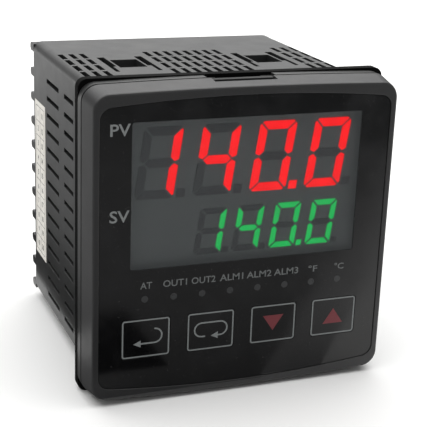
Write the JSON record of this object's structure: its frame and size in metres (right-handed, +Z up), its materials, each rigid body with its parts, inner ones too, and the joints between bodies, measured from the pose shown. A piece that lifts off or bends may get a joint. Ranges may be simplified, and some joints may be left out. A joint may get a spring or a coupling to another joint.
{
  "type": "pid temperature controller",
  "caption": "Square panel-mount temperature controller with a red and green digital display, membrane keys, slotted case, panel gasket and rear screw terminals",
  "frame": {"origin": "centre of the panel plane, where the gasket's rear face meets the front of the panel", "axes": "+X right as seen from the front, +Y rearward into the panel, +Z up"},
  "size_m": [0.096, 0.0947, 0.0964],
  "materials": {
    "bezel": "fine textured black plastic",
    "overlay": "glossy black printed film",
    "window": "smoked clear plastic",
    "switch": "black moulded plastic",
    "case": "fine textured black plastic",
    "gasket": "black rubber",
    "board": "green solder mask",
    "screw": "nickel plated steel",
    "module": "dark grey moulded face",
    "segment_red": "glowing red epoxy",
    "segment_green": "glowing green epoxy",
    "segment_dark": "unlit grey epoxy",
    "led": "pale epoxy",
    "light_pipe": "smoked plastic",
    "terminal_block": "black glass-filled plastic",
    "contact": "tinned brass",
    "core": "varnished laminations",
    "winding": "yellow winding tape",
    "capacitor": "sleeved aluminium can",
    "relay": "blue moulded cover",
    "chip": "black epoxy",
    "label": "white film label, bare",
    "key": "glossy black printed film",
    "plunger": "black moulded plastic"
  },
  "bodies": {
    "housing": {"bezel": "bezel", "front_overlay": "overlay", "display_window": "window", "tact_switches": "switch", "case": "case", "panel_gasket": "gasket", "display_board": "board", "board_screws": "screw", "display_module": "module", "pv_segments_lit": "segment_red", "pv_segments_unlit": "segment_dark", "sv_segments_lit": "segment_green", "sv_segments_unlit": "segment_dark", "indicator_leds": "led", "light_pipes": "light_pipe", "rear_cover": "case", "terminal_block_left": "terminal_block", "terminal_contacts_left": "contact", "terminal_clamps_left": "screw", "terminal_screws_left": "screw", "terminal_block_right": "terminal_block", "terminal_contacts_right": "contact", "terminal_clamps_right": "screw", "terminal_screws_right": "screw", "control_board": "board", "power_board": "board", "transformer_core": "core", "transformer_winding": "winding", "filter_capacitors": "capacitor", "output_relays": "relay", "control_chips": "chip", "side_label": "label"},
    "key_enter": {"key_pad_enter": "key", "switch_plunger_enter": "plunger"},
    "key_loop": {"key_pad_loop": "key", "switch_plunger_loop": "plunger"},
    "key_down": {"key_pad_down": "key", "switch_plunger_down": "plunger"},
    "key_up": {"key_pad_up": "key", "switch_plunger_up": "plunger"}
  },
  "joints": [
    {"name": "key_enter_press", "type": "slide", "parent": "housing", "child": "key_enter", "axis": [0, 1, 0], "range_m": [0, 0.0004], "stiffness_N_per_m": 200},
    {"name": "key_loop_press", "type": "slide", "parent": "housing", "child": "key_loop", "axis": [0, 1, 0], "range_m": [0, 0.0004], "stiffness_N_per_m": 200},
    {"name": "key_down_press", "type": "slide", "parent": "housing", "child": "key_down", "axis": [0, 1, 0], "range_m": [0, 0.0004], "stiffness_N_per_m": 200},
    {"name": "key_up_press", "type": "slide", "parent": "housing", "child": "key_up", "axis": [0, 1, 0], "range_m": [0, 0.0004], "stiffness_N_per_m": 200}
  ]
}
